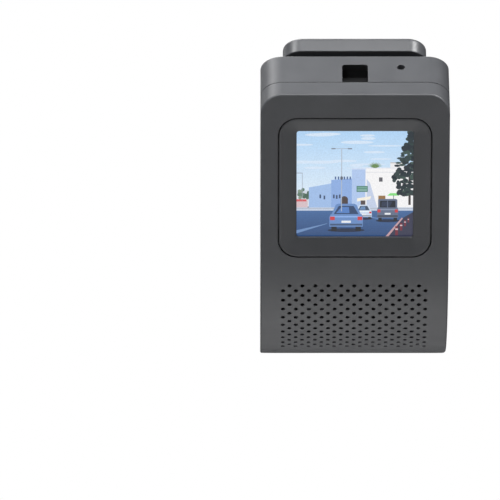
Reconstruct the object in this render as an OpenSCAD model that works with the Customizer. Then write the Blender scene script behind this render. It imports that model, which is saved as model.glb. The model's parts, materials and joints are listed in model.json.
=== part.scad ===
// Wedge-shaped windscreen dash camera with a tilting lens, hung from an adhesive bracket.
// Millimetres. +Z is up, -Y is the way the lens looks, +X is the button side.
// The origin is the centre of the adhesive face that meets the windscreen.

/* [Body] */
// Width of the body across X
body_w = 58; // [54:1:64]
// Height of the vertical front face
front_h = 41.5; // [40:0.5:46]
// Slope of the top face and of the windscreen, degrees
top_slope = 32; // [28:1:36]
// Length of the top face, front edge to rear edge
top_len = 92.5; // [88:0.5:100]
// Length of the short end face that carries the sockets
end_len = 20.9; // [19:0.1:24]
// How far the end face looks up, degrees
end_lean = 53.3; // [50:0.1:56]
// How far the screen face looks down, degrees
screen_lean = 26.2; // [24:0.1:29]
// Radius of the first belly curve, next to the flat bottom
belly_r1 = 52.2; // [48:0.1:56]
// Radius of the second belly curve, next to the screen face
belly_r2 = 66.7; // [60:0.1:72]
// How far down the two belly curves meet, degrees below horizontal
belly_meet = 52.9; // [45:0.1:60]
// Radius of the upright corners
corner_r = 6.8; // [5:0.1:8]
// Wall thickness of both mouldings
wall = 2; // [1.6:0.1:2.4]

/* [Parting line] */
// Distance of the upright part of the seam behind the front face
seam_y = 15.2; // [14:0.1:17]
// Slope of the straight part of the seam, degrees
seam_slope = 37.6; // [36:0.1:39]
// Radius that joins the upright and the sloping part
seam_r = 25; // [20:1:30]
// Distance of the seam down the end face, from the top edge
seam_drop = 14.2; // [13.5:0.1:15]
// Width of the visible joint
seam_gap = 0.2; // [0.1:0.05:0.3]

/* [Screen] */
// Side of the square visible display
display_side = 35.8; // [33:0.1:37]
// Side of the square bezel around it
bezel_side = 47.4; // [46:0.1:49]
// Corner radius of the bezel
bezel_r = 6.2; // [4:0.1:8]
// Distance of the bezel's centre below the screen face's upper edge
bezel_drop = 31.5; // [31:0.1:33]
// Distance of the display's centre below the screen face's upper edge
display_drop = 30.9; // [30:0.1:32]

/* [Speaker grille] */
// Diameter of one grille hole
grille_hole_d = 1.3; // [1:0.1:1.6]
// Spacing of holes in a row
grille_pitch = 4; // [3.6:0.1:4.4]
// Number of rows
grille_rows = 18; // [10:1:18]
// Distance of the lowest row from the start of the belly curve
grille_start = 13.8; // [13:0.1:15]

/* [Lens] */
// Width of the tilting lens block
lens_w = 25.6; // [24:0.2:26]
// How far the block stands out of the front face
lens_out = 7.4; // [5:0.1:9]
// Height of the lens axis above the flat bottom
lens_z = 22.4; // [21.5:0.1:23]
// Radius of the black trim ring around the optics
ring_r = 11.45; // [10.8:0.05:11.6]
// Play on each side of the block in the front slot
slot_play = 1; // [0.8:0.1:1.2]
// Distance of the tilt axis behind the front face
pivot_y = 6; // [5:0.5:7]
// Radius of the pivot pins
pivot_r = 2; // [1.5:0.1:2.2]

/* [Buttons] */
// Length of the button panel
panel_len = 42; // [40:1:43]
// Height of the button panel
panel_h = 11; // [10:0.5:12]
// Distance of the panel's centre from the front edge, along the top
panel_s = 63.5; // [62:0.5:65]
// Depth of the panel's centre under the top face
panel_n = 8.5; // [8:0.1:9]
// Length of the slot that both button caps share
cap_slot_len = 22; // [20:0.5:23]
// Height of that slot
cap_slot_h = 7; // [6:0.5:7.5]
// Travel of the two button caps
press = 0.4; // [0.3:0.05:0.5]

/* [Bracket] */
// Width of the mounting plate
plate_w = 44.2; // [42:0.2:46]
// Length of the mounting plate
plate_len = 65; // [60:1:66]
// Thickness of the mounting plate
plate_t = 5.3; // [5:0.1:7]
// Distance of the plate's front edge from the body's front edge, along the top
plate_s = 26; // [25:0.5:28]
// Gap between the plate and the top face
plate_gap = 2.8; // [2.6:0.1:3.2]
// Thickness of the adhesive pad
pad_t = 0.6; // [0.5:0.1:1.2]

/* [Sockets] */
// Width of the recess around the power socket
usb_recess_w = 7.9; // [7.8:0.1:9]
// Radius of the camera-input jack
jack_r = 1.25; // [1.2:0.05:1.75]
// Distance of the jack from the body's centre plane
jack_x = 14.1; // [12:0.1:16]

/* [Hidden] */
$fn = 48;
far = 200;
eps = 0.01;

// Lines and points of the side profile, as [Y, Z] measured from the foot of the front face.
function dir(a) = [cos(a), sin(a)];
function meet(a1, d1, a2, d2) =
    let (k = sin(a2 - a1))
    [(d1 * sin(a2) - d2 * sin(a1)) / k, (d2 * cos(a1) - d1 * cos(a2)) / k];
top_rear = [0, front_h] + top_len * dir(top_slope);
end_foot = top_rear + end_len * dir(end_lean - 90);
screen_d = end_foot * dir(-screen_lean);
end_d = top_rear * dir(end_lean);
top_d = front_h * cos(top_slope);
belly_y = (screen_d - belly_r2
    - (belly_r1 - (belly_r1 - belly_r2) * sin(belly_meet)) * sin(-screen_lean)) / cos(screen_lean)
    - (belly_r1 - belly_r2) * cos(belly_meet);
belly_c1 = [belly_y, belly_r1];
belly_c2 = belly_c1 + (belly_r1 - belly_r2) * dir(-belly_meet);

// The origin, as [Y, Z] in the same profile plane.
pad_n = plate_gap + plate_t + pad_t;
origin_yz = [0, front_h] + (plate_s + plate_len / 2) * dir(top_slope) + pad_n * dir(top_slope + 90);

// Frames. at_body: the profile's own frame. at_top: y along the top face, z out of it.
// at_rear: as seen from behind, x to the right, y up the face, z out of it.
// at_side: x along the top face, y out of it, z out of the button side. at_lens: z along the view.
module at_body() translate([0, -origin_yz.x, -origin_yz.y]) children();
module at_top() at_body() translate([0, 0, front_h]) rotate([top_slope, 0, 0]) children();
module at_rear(p, lean) at_body() translate([0, p.x, p.y]) rotate([90 - lean, 0, 180]) children();
module at_screen() at_rear(end_foot, -screen_lean) children();
module at_end() at_rear(top_rear, end_lean) children();
module at_side() at_top() translate([body_w / 2, 0, 0]) rotate([90, 0, 90]) children();
module at_lens() at_body() translate([0, -lens_out, lens_z]) rotate([90, 0, 0]) children();
module across(w) rotate([90, 0, 90]) linear_extrude(w, center = true) children();

// Shapes that repeat.
module box_at(x, y, z) translate([x[0], y[0], z[0]]) cube([x[1] - x[0], y[1] - y[0], z[1] - z[0]]);
module slab(z0, z1) translate([0, 0, z0]) linear_extrude(z1 - z0) children();
module disc(r, z0, z1) translate([0, 0, z0]) cylinder(r = r, h = z1 - z0);
module tube(r_out, r_in, z0, z1) difference() {
    disc(r_out, z0, z1);
    disc(r_in, z0 - 1, z1 + 1);
}
module rounded(w, h, r) {
    square([w - 2 * r, h], center = true);
    square([w, h - 2 * r], center = true);
    for (x = [-1, 1], y = [-1, 1]) translate([x * (w / 2 - r), y * (h / 2 - r)]) circle(r);
}
module stadium(l, h) {
    square([l - h, h], center = true);
    for (x = [-1, 1]) translate([x * (l - h) / 2, 0]) circle(h / 2);
}
module screw(head_r, head_h, shank_r, shank_l) {
    difference() {
        disc(head_r, 0, head_h);
        for (a = [0, 90]) rotate(a)
            box_at([-head_r * 0.6, head_r * 0.6], [-0.2, 0.2], [head_h * 0.4, head_h + 1]);
    }
    disc(shank_r, -shank_l, eps);
}

// Side outline of the body, drawn in by t on every side.
module outline(t) {
    a_top = top_slope + 90;
    polygon([[t, t], [belly_y, t], belly_c1 + (belly_r1 - t) * dir(-belly_meet),
        belly_c2 + (belly_r2 - t) * dir(-screen_lean),
        meet(-screen_lean, screen_d - t, end_lean, end_d - t),
        meet(end_lean, end_d - t, a_top, top_d - t), meet(a_top, top_d - t, 180, -t)]);
    belly_curve(belly_c1, belly_r1 - t, -90, -belly_meet);
    belly_curve(belly_c2, belly_r2 - t, -belly_meet, -screen_lean);
}
module belly_curve(c, r, a0, a1) translate(c) intersection() {
    circle(r, $fn = 96);
    polygon([0.92 * r * dir(a0), 2 * r * dir(a0), 2 * r * dir((a0 + a1) / 2), 2 * r * dir(a1),
        0.92 * r * dir(a1)]);
}
// Half-plane strip whose two corners at y = -t are rounded.
module round_corners(t) {
    r = corner_r - t;
    for (x = [-1, 1]) translate([x * (body_w / 2 - corner_r), -corner_r]) circle(r);
    translate([-body_w / 2 + t, -far]) square([body_w - 2 * t, far - corner_r]);
    translate([-body_w / 2 + corner_r, -far]) square([body_w - 2 * corner_r, far - t]);
}
// The body's outer form, drawn in by t: flat sides, upright front corners, rounded end corners.
module form(t) intersection() {
    at_body() across(body_w - 2 * t) outline(t);
    at_body() mirror([0, 1, 0]) translate([0, 0, -1]) linear_extrude(far) round_corners(t);
    at_end() rotate([90, 0, 0]) linear_extrude(far, center = true) round_corners(t);
}
module shell(t0, t1) difference() {
    form(t0);
    form(t1);
}
// Everything on the rear cover's side of the seam, grown by g.
module rear_zone(g) at_body() across(2 * far) {
    seam_end = top_rear + seam_drop * dir(end_lean - 90);
    knee = [seam_y, seam_end.y - (seam_end.x - seam_y) * tan(seam_slope)];
    reach = seam_r * tan((90 - seam_slope) / 2);
    off = g * dir(seam_slope + 90);
    polygon([[seam_y - g, -far], [seam_y - g, knee.y - reach], knee + reach * dir(seam_slope) + off,
        knee + far * dir(seam_slope) + off, [far, -far]]);
    translate([seam_y + seam_r, knee.y - reach]) circle(seam_r + g, $fn = 96);
}

// ---- Bracket ----
module plate_outline(inset) translate([0, plate_s + plate_len / 2])
    rounded(plate_w - 2 * inset, plate_len - 2 * inset, 6 - inset);
module adhesive_pad() color("dimgray") at_top()
    slab(plate_gap + plate_t, pad_n) plate_outline(2.2);
module mount_plate() color("#3c3d40") difference() {
    at_top() union() {
        slab(plate_gap, pad_n - pad_t - 0.9) plate_outline(0);
        hull() {
            slab(pad_n - pad_t - 0.9 - eps, pad_n - pad_t - 0.9) plate_outline(0, $fn = 32);
            slab(pad_n - pad_t - eps, pad_n - pad_t) plate_outline(0.9, $fn = 32);
        }
    }
    rail_screw_places() disc(0.85, -1, 4.5);
}
rail_s = [37, 73];
module rail_screw_places() at_top() for (x = [-5, 5], s = [42, 68]) translate([x, s, 0.25]) children();
module slide_rail() color("#2e2f31") difference() {
    at_top() union() {
        box_at([-12, 12], rail_s, [0.25, 1.25]);
        box_at([-8.5, 8.5], rail_s, [1.25, plate_gap]);
    }
    rail_screw_places() union() {
        disc(0.95, -1, 9);
        disc(1.9, -1, 0.9);
    }
}
module rail_screws() color("silver") rail_screw_places() translate([0, 0, 0.9]) mirror([0, 0, 1])
    screw(1.7, 0.8, 0.85, 3.4);

// ---- Camera: channel on the top face ----
base_s = [33.5, 76];
module base_screw_places() at_top() for (x = [-15, 15], s = [39, 70]) translate([x, s, 0]) children();
module slide_base() color("#252628") difference() {
    at_top() difference() {
        box_at([-18, 18], base_s, [0.02, 2.6]);
        box_at([-12.15, 12.15], [base_s[0] - 1, 73.1], [0.1, 1.4]);
        box_at([-8.7, 8.7], [base_s[0] - 1, 73.1], [0.1, 3]);
    }
    base_screw_places() union() {
        disc(1.05, -1, 4);
        disc(1.9, 1.6, 4);
    }
}
module base_screws() color("silver") base_screw_places() translate([0, 0, 1.6]) screw(1.7, 0.8, 0.95, 3.4);

// ---- Camera: mouldings ----
pocket_w = lens_w + 2 * slot_play;
pocket_z = lens_z - 4.9;
brow = 1.2;
recess_t = [4.7, seam_drop];
recess_depth = 5;
board_posts = [[-25.8, 26], [25.8, 26], [-25.8, 52], [25.8, 52]];
yoke_bosses = [[-19.4, -6], [19.4, -6], [-19.4, 7], [19.4, 7]];
module lens_slot() at_body() rotate([90, 0, 0]) slab(-wall - 1, 1) {
    translate([0, pocket_z]) circle(pocket_w / 2);
    translate([-pocket_w / 2, pocket_z]) square([pocket_w, front_h - brow - pocket_z]);
}
module front_housing() color("#4a4b4e") difference() {
    union() {
        difference() {
            shell(0, wall);
            rear_zone(seam_gap / 2);
        }
        base_screw_places() disc(2, -4.5, -wall + eps);
        at_body() translate([0, 0, lens_z]) rotate([90, 0, 0])
            for (p = yoke_bosses) translate([p.x, p.y, 0]) disc(2, -5, -wall + eps);
    }
    lens_slot();
    base_screw_places() disc(0.95, -3.6, 1);
    at_body() translate([0, 0, lens_z]) rotate([90, 0, 0])
        for (p = yoke_bosses) translate([p.x, p.y, 0]) disc(0.8, -6, -2.6);
    at_side() translate([panel_s, -panel_n, 0]) slab(-wall - 1, 1) stadium(panel_len, panel_h);
    at_end() translate([0, -(recess_t[0] + recess_t[1]) / 2 - 1, 0])
        slab(-wall - 1, 1) rounded(usb_recess_w, recess_t[1] - recess_t[0] + 2, 1);
    at_end() translate([jack_x, -6.1, 0]) disc(jack_r + 0.05, -wall - 1, 1);
    at_top() translate([-5, 5.5, 0]) slab(-wall - 2, 1) stadium(2.6, 0.9);
}
function belly_point(s) = s < belly_arc1
    ? belly_c1 + belly_r1 * dir(-90 + s / belly_r1 * 180 / PI)
    : belly_c2 + belly_r2 * dir(-belly_meet + (s - belly_arc1) / belly_r2 * 180 / PI);
function belly_lean(s) = s < belly_arc1
    ? -90 + s / belly_r1 * 180 / PI : -belly_meet + (s - belly_arc1) / belly_r2 * 180 / PI;
belly_arc1 = belly_r1 * (90 - belly_meet) * PI / 180;
// Half-axes of the oval rim behind the grille, where the holes are blind.
rim_w = 17.9;
rim_h = 11;
module grille_holes() for (row = [0 : grille_rows - 1]) {
    s = grille_start + (grille_rows - 1 - row) * grille_pitch / 2;
    holes = row % 2 == 0 ? 11 : 12;
    at_rear(belly_point(s), belly_lean(s)) for (i = [0 : holes - 1]) {
        x = (i - (holes - 1) / 2) * grille_pitch;
        from_rim = norm([x / rim_w, (s - speaker_s) / rim_h]) - 1;
        translate([x, 0, 0]) disc(grille_hole_d / 2, abs(from_rim) < 0.09 ? -0.6 : -wall - 1, 1, $fn = 16);
    }
}
card_drop = 36;
card_depth = 14;
module rear_cover() color("#3f4043") difference() {
    union() {
        intersection() {
            shell(0, wall);
            rear_zone(-seam_gap / 2);
        }
        difference() {
            intersection() {
                shell(wall, wall + 1);
                rear_zone(-seam_gap / 2);
            }
            rear_zone(-1.6);
        }
        difference() {
            intersection() {
                shell(wall + 0.1, wall + 1);
                rear_zone(1.2);
            }
            rear_zone(-1.6);
        }
        at_screen() for (p = board_posts) translate([p.x, -p.y, 0]) disc(1.6, -11.5, -wall + eps);
        at_end() for (x = [-1, 1]) box_at(x > 0 ? [20.4, 27.5] : [-27.5, -20.4], [-14.6, -12.8], [-14, -7]);
    }
    at_screen() translate([0, -bezel_drop, 0]) slab(-wall - 1.5, 1) rounded(bezel_side, bezel_side, bezel_r);
    at_screen() for (p = board_posts) translate([p.x, -p.y, 0]) disc(0.8, -12, -5);
    at_screen() box_at([far / 10, far / 2], [-card_drop - 5.75, -card_drop + 5.75],
        [-card_depth - 0.6, -card_depth + 0.6]);
    at_end() box_at([-usb_recess_w / 2, usb_recess_w / 2], [-seam_drop, 0], [-recess_depth, 0]);
    on_panel(panel_s) slab(-4, -wall) stadium(panel_len + 2.6, panel_h + 2.6);
    grille_holes();
}

// ---- Camera: screen stack ----
frame_z = -0.4;
dish_z = -1.5;
module screen_frame() color("#2f3033") at_screen() difference() {
    union() {
        translate([0, -bezel_drop, 0]) slab(-3.3, frame_z)
            rounded(bezel_side - 0.7, bezel_side - 0.7, bezel_r - 0.35);
        translate([0, -bezel_drop, 0]) slab(-3.3, -wall - 0.5)
            rounded(bezel_side + 0.8, bezel_side + 0.8, bezel_r);
    }
    hull() {
        translate([0, -bezel_drop, 0]) slab(frame_z, 1)
            rounded(bezel_side - 2.4, bezel_side - 2.4, bezel_r - 1.2, $fn = 32);
        translate([0, -display_drop, 0]) slab(dish_z, 0)
            rounded(display_side + 1, display_side + 1, 1.6, $fn = 32);
    }
    translate([0, -display_drop, 0]) slab(-4, 1) rounded(display_side, display_side, 0.8);
    translate([0, -display_drop, 0]) box_at([-19.4, 19.4], [-19.4, 19.4], [-4, -1.9]);
}
module on_display() at_screen() translate([0, -display_drop, 0]) children();
module display_window() color("#101216") on_display() slab(-2.7, -1.9) rounded(38.4, 38.4, 1);
module lcd_panel() color("#1c2430") on_display() box_at([-19, 19], [-19, 19], [-4.2, -2.8]);
module lcd_tray() color("silver") on_display() difference() {
    box_at([-19.6, 19.6], [-20.4, 19.6], [-5.6, -3.4]);
    box_at([-19.15, 19.15], [-19.15, 19.15], [-4.3, -3]);
}
module lcd_flex() color("#b8702a") on_display() {
    box_at([-8, 8], [-21.6, -20.4], [-5.4, -5.2]);
    box_at([-8, 8], [-21.6, -21.4], [-11.3, -5.2]);
    box_at([-8, 8], [-21.6, -16], [-11.5, -11.3]);
}

// ---- Camera: boards ----
board_z = -12.7;
module main_board() color("#1d4a2c") at_screen() difference() {
    box_at([-26.7, 26.7], [-54.6, -23], [board_z, -11.5]);
    for (p = board_posts) translate([p.x, -p.y, 0]) {
        disc(1, board_z - 1, -11);
        box_at(p.x > 0 ? [0, 2] : [-2, 0], [-1, 1], [board_z - 1, -11]);
    }
}
module processor() color("#1a1a1a") at_screen() box_at([-13, 1], [-46, -32], [board_z - 1.2, board_z]);
module thermal_pad() color("#8fa6b5") at_screen() box_at([-12, 0], [-45, -33], [board_z - 2, board_z - 1.2]);
module heat_spreader() color("silver") at_screen() {
    box_at([-16, 9], [-52, -27], [board_z - 3.2, board_z - 2]);
    for (i = [0 : 5]) box_at([-16 + i * 4.8, -15 + i * 4.8], [-52, -27], [board_z - 6.4, board_z - 3.2]);
}
module memory_chips() color("#202020") at_screen() for (y = [-33, -45])
    box_at([-24.5, -17.5], [y - 4, y + 4], [board_z - 1, board_z]);
module shield_can() color("silver") at_screen() difference() {
    box_at([11, 20], [-53.5, -44.5], [board_z - 2, board_z]);
    box_at([11.3, 19.7], [-53.2, -44.8], [board_z - 1.7, board_z + 1]);
}
module board_screws() color("silver") at_screen() for (p = board_posts)
    translate([p.x, -p.y, board_z]) mirror([0, 0, 1]) screw(1.1, 0.8, 0.7, 4.4);
io_t = 11.5;
module io_board() color("#1d4a2c") at_end()
    box_at([-20.2, 20.2], [-io_t - 1.2, -io_t], [-18, -recess_depth - 0.1]);
module port_insert() color("#141415") at_end() difference() {
    union() {
        box_at([-5.4, 5.4], [-io_t, -3.2], [-recess_depth - 1, -recess_depth]);
        for (x = [-1, 1]) box_at(x > 0 ? [usb_recess_w / 2, 5.4] : [-5.4, -usb_recess_w / 2],
            [-io_t, -3.2], [-recess_depth, -wall - 0.1]);
        box_at([-5.4, 5.4], [-recess_t[0] + 0.1, -3.2], [-recess_depth, -wall - 0.1]);
    }
    box_at([-3.9, 3.9], [-io_t - 1, -7.4], [-recess_depth - 2, 0]);
}
module usb_socket() color("silver") at_end() translate([0, -io_t + 2, 0]) difference() {
    slab(-14.4, -recess_depth) usb_shape(0);
    slab(-13.9, 0) usb_shape(0.4);
    box_at([-3, 3], [-0.4, 0.4], [-30, -20]);
}
module usb_shape(t) polygon([[-3.85 + t, 1.95 - t], [-3.85 + t, -0.4], [-3.1 + t, -1.95 + t],
    [3.1 - t, -1.95 + t], [3.85 - t, -0.4], [3.85 - t, 1.95 - t]]);
module av_jack() color("#18181a") at_end() translate([jack_x, -6.1, 0]) difference() {
    union() {
        box_at([-3, 3], [-io_t + 6.1, 2.6], [-15, -3.4]);
        disc(2.3, -3.5, -wall - 0.1);
    }
    disc(jack_r, -12.1, 0);
}
module board_link() color("#b8702a") at_end() {
    box_at([-10, -4], [-io_t - 1.4, -io_t - 1.2], [-19.2, -14]);
    box_at([-10, -4], [-io_t - 1.4, -io_t + 4], [-19.4, -19.2]);
}
module card_socket() color("silver") at_screen() difference() {
    box_at([11.6, 26.6], [-card_drop - 6.3, -card_drop + 6.3], [-card_depth - 1.3, board_z]);
    box_at([12.6, 27], [-card_drop - 5.6, -card_drop + 5.6], [-card_depth - 0.55, -card_depth + 0.55]);
}
module memory_card() color("#1b1c20") at_screen() {
    box_at([13.2, 28.2], [-card_drop - 5.4, -card_drop + 4.6], [-card_depth - 0.35, -card_depth + 0.35]);
    box_at([19.6, 28.2], [-card_drop + 4.5, -card_drop + 5.4], [-card_depth - 0.35, -card_depth + 0.35]);
    box_at([27.4, 28.2], [-card_drop - 5.4, -card_drop + 5.4], [-card_depth - 0.5, -card_depth + 0.5]);
}

// ---- Camera: buttons ----
panel_floor = -0.8;
cap_s = panel_s - 0.2;
cap_gap = 0.8;
reset_s = 79.2;
led_s = 46.3;
module on_panel(s) at_side() translate([s, -panel_n, 0]) children();
module button_panel() color("#3a3b3e") difference() {
    on_panel(panel_s) difference() {
        union() {
            slab(-wall, -0.1) stadium(panel_len - 0.6, panel_h - 0.6);
            slab(-3.2, -wall - 0.1) stadium(panel_len + 2, panel_h + 2);
            slab(-wall - 0.1 - eps, -wall + eps) stadium(panel_len - 0.6, panel_h - 0.6);
        }
        slab(panel_floor, 1) stadium(panel_len - 3.2, panel_h - 3.2);
        slab(-4, -1.7) stadium(panel_len - 3.4, panel_h - 1.8);
    }
    on_panel(cap_s) slab(-4, 1) stadium(cap_slot_len, cap_slot_h);
    on_panel(reset_s) disc(0.75, -4, 1);
    on_panel(led_s) slab(-4, 1) stadium(2.6, 1.4);
}
module status_led() color("#dfe4e8") on_panel(led_s) slab(-5.6, -0.55) stadium(2.4, 1.2);
module cap_outline(side, play) intersection() {
    stadium(cap_slot_len - play, cap_slot_h - play);
    translate([side > 0 ? cap_gap / 2 : -far, -far / 2]) square([far - (side > 0 ? 0 : cap_gap / 2), far]);
}
module button_cap(side) on_panel(cap_s) {
    slab(-2.2, -0.05) cap_outline(side, 0.5);
    slab(-2.3, -1.8) intersection() {
        stadium(cap_slot_len + 1.4, cap_slot_h + 1.2);
        translate([side > 0 ? cap_gap / 2 : -far, -far / 2])
            square([far - (side > 0 ? 0 : cap_gap / 2), far]);
    }
    translate([side * 5.6, 0, 0]) disc(1.1, -4.35, -2.2);
}
module ok_button() color("#4d4e52") button_cap(-1);
module power_button() color("#4d4e52") button_cap(1);
module reset_plunger() color("#222222") on_panel(reset_s) {
    disc(0.6, -4.5, -1.1);
    disc(1.3, -2.9, -2.2);
}
module button_board() color("#1d4a2c") at_side()
    box_at([44, 83], [-panel_n - 4.8, -panel_n + 4.6], [-7.6, -6.4]);
module tact_switches() color("#c9c9cc") {
    for (s = [cap_s - 5.6, cap_s + 5.6, reset_s]) on_panel(s) {
        box_at([-2.3, 2.3], [-2.3, 2.3], [-6.4, -5.3]);
        disc(1.1, -5.31, -4.85);
    }
}

// ---- Camera: speaker ----
speaker_s = grille_start + 8 * grille_pitch / 2;
speaker_x = 35.6;
speaker_y = 21.6;
module at_speaker() at_rear(belly_point(speaker_s), belly_lean(speaker_s)) children();
speaker_z = -3.9;
module speaker_gasket() color("#77787a") at_speaker() difference() {
    slab(speaker_z, speaker_z + 0.25) stadium(speaker_x, speaker_y);
    slab(speaker_z - 1, 1) stadium(speaker_x - 5, speaker_y - 5);
}
module speaker_frame() color("#2a2a2c") at_speaker() difference() {
    slab(speaker_z - 3.4, speaker_z) stadium(speaker_x, speaker_y);
    slab(speaker_z - 2.4, 1) stadium(speaker_x - 3, speaker_y - 3);
    disc(6.1, speaker_z - 4, 0);
}
module speaker_cone() color("#3b3b40") at_speaker() translate([0, 0, speaker_z - 0.9]) difference() {
    union() {
        slab(-0.5, 0) stadium(speaker_x - 3.2, speaker_y - 3.2);
        sphere_cap(5, 1.3);
    }
    translate([0, 0, -0.5]) sphere_cap(5, 1.3);
}
module sphere_cap(r, h) {
    big = (r * r + h * h) / (2 * h);
    intersection() {
        translate([0, 0, h - big]) sphere(big);
        disc(r, 0, h + 1);
    }
}
module speaker_magnet() color("#8b8d90") at_speaker() disc(6, speaker_z - 6.4, speaker_z - 1.5);
module grille_mesh() color("#101010") intersection() {
    difference() {
        form(wall + 0.1);
        form(wall + 0.35);
    }
    at_speaker() slab(-8, 1) rounded(46, 36.5, 2);
}

// ---- Camera: power and radio ----
module power_board() color("#1d4a2c") at_body() box_at([-17, 17], [25.6, 26.8], [12, 46]);
module supercapacitors() color("#27508f") at_body() for (z = [20, 33]) translate([0, 32, z])
    rotate([0, 90, 0]) disc(5, -11, 11);
module microphone() color("#b9b9bb") at_top() translate([-5, 5.5, 0]) difference() {
    disc(2.4, -4, -wall - 0.1);
    disc(0.5, -3.4, 0);
}
module radio_antenna() color("#caa24a") at_top() box_at([-22, -18.5], [44, 82], [-3.2, -2.4]);

// ---- Camera: lens yoke ----
module at_pivot() at_body() translate([0, pivot_y, lens_z]) children();
module tilt_yoke() color("#55565a") difference() {
    at_pivot() union() {
        for (x = [-1, 1]) {
            box_at(x > 0 ? [14, 15.8] : [-15.8, -14], [-0.9, 18], [-9.5, 10]);
            box_at(x > 0 ? [15.7, 21.6] : [-21.6, -15.7], [-0.9, 0.5], [-9.5, 10]);
        }
        box_at([-15.8, 15.8], [16.6, 18], [-9.5, 10]);
    }
    at_pivot() rotate([0, 90, 0]) disc(pivot_r + 0.05, -30, 30);
    at_pivot() rotate([90, 0, 0]) for (p = yoke_bosses) translate([p.x, p.y, 0]) disc(0.95, -3, 3);
    at_pivot() box_at([-8, 8], [15, 20], [-6, 6]);
}
module yoke_screws() color("silver") at_pivot() rotate([90, 0, 0]) for (p = yoke_bosses)
    translate([p.x, p.y, -0.5]) mirror([0, 0, 1]) screw(1.6, 1, 0.8, 3.6);
module friction_washers() color("silver") at_pivot() rotate([0, 90, 0]) for (x = [-1, 1])
    translate([0, 0, x * 13.4]) tube(3.8, pivot_r + 0.1, -0.45, 0.45);
module sensor_cable() color("#1a1a1a") at_pivot() {
    $fn = 16;
    rotate([0, 90, 0]) disc(0.7, -19, -15.9);
    translate([-18.4, 0, 0]) rotate([-90, 0, 0]) disc(0.7, 0.65, 34);
    translate([-18.4, 34, 0]) sphere(0.7);
    translate([-18.4, 34, 0]) rotate([-60, 0, 0]) disc(0.7, 0, 17);
}

// ---- Tilting lens block ----
block_up = 13.6;
block_back = 21.4;
module block_outline(t) {
    circle(lens_w / 2 - t);
    translate([0, (block_up - t) / 2]) square([lens_w - 2 * t, block_up - t], center = true);
}
module block_section(t) intersection() {
    block_outline(t);
    rotate(45) square((lens_w / 2 + block_up - 2) * sqrt(2) - 2 * t, center = true);
    translate([-far / 2, -far / 2]) square([far, far / 2 + block_up - t]);
}
module lens_housing() color("#505154") difference() {
    at_lens() difference() {
        slab(-block_back, 0) block_section(0);
        slab(-block_back - 1, -9) block_section(1.8);
        disc(ring_r + 0.1, -0.9, 1);
        disc(10.6, -6.5, 1);
        disc(7, -10, 1);
    }
    at_pivot() rotate([0, 90, 0]) disc(pivot_r + 0.02, -30, 30);
}
module lens_ring() color("#0c0c0d") at_lens() tube(ring_r, 10.4, -0.8, 0.15);
module lens_cone() color("#a9abad") at_lens() rotate_extrude()
    polygon([[10.5, -0.9], [10.2, -0.9], [9.2, -1.9], [8.9, -1.9], [7.9, -3.1], [7.6, -3.1], [6.6, -4.5],
        [6.2, -4.5], [6.2, -6.4], [10.5, -6.4]]);
module lens_barrel() color("#151516") at_lens() difference() {
    union() {
        disc(6, -15.5, -4.6);
        disc(5.9, -4.7, -3.2);
    }
    disc(4.9, -6.4, 0);
    disc(4.2, -20, 0);
}
module front_lens() color("#203040") at_lens() translate([0, 0, -6.3]) {
    disc(4.8, 0, 1.6);
    translate([0, 0, 1.6]) sphere_cap(4.8, 1.3);
}
module inner_lenses() color("#304050") at_lens() for (z = [-9, -11.4, -13.8])
    translate([0, 0, z]) disc(4.1, 0, 1.4);
module lens_holder() color("#1b1b1d") at_lens() difference() {
    union() {
        box_at([-7.6, 7.6], [-7.6, 7.6], [-16.6, -14]);
        disc(7.4, -14.1, -9.6);
    }
    disc(6.05, -15.55, 0);
    box_at([-5, 5], [-5, 5], [-17, -15.5]);
}
module infrared_filter() color("#b05868") at_lens() box_at([-3.6, 3.6], [-3.6, 3.6], [-15.9, -15.56]);
module image_sensor() color("#2c3038") at_lens() box_at([-4, 4], [-3.4, 3.4], [-17.2, -16.4]);
module sensor_board() color("#1d4a2c") at_lens() difference() {
    box_at([-7.6, 7.6], [-7.4, 9.6], [-18.2, -17.2]);
    for (x = [-6.2, 6.2], y = [-6, 8.2]) translate([x, y, 0]) disc(0.7, -19, -16);
}
module lens_back_cover() color("#3a3b3e") at_lens() slab(-block_back, -20.2) block_section(1.9);
module pivot_pins() color("silver") at_pivot() rotate([0, 90, 0]) {
    disc(pivot_r, 11.4, 16.2);
    tube(pivot_r, 0.9, -16.2, -11.4);
}

adhesive_pad();
mount_plate();
slide_rail();
rail_screws();
slide_base();
base_screws();
front_housing();
rear_cover();
screen_frame();
display_window();
lcd_panel();
lcd_tray();
lcd_flex();
main_board();
processor();
thermal_pad();
heat_spreader();
memory_chips();
shield_can();
board_screws();
io_board();
port_insert();
usb_socket();
av_jack();
board_link();
card_socket();
button_panel();
status_led();
button_board();
tact_switches();
speaker_gasket();
speaker_frame();
speaker_cone();
speaker_magnet();
grille_mesh();
power_board();
supercapacitors();
microphone();
radio_antenna();
tilt_yoke();
yoke_screws();
friction_washers();
sensor_cable();
lens_housing();
lens_ring();
lens_cone();
lens_barrel();
front_lens();
inner_lenses();
lens_holder();
infrared_filter();
image_sensor();
sensor_board();
lens_back_cover();
pivot_pins();
ok_button();
power_button();
reset_plunger();
memory_card();
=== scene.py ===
import json
import math
import random

import bmesh
import bpy
import numpy as np
from mathutils import Matrix, Vector


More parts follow.
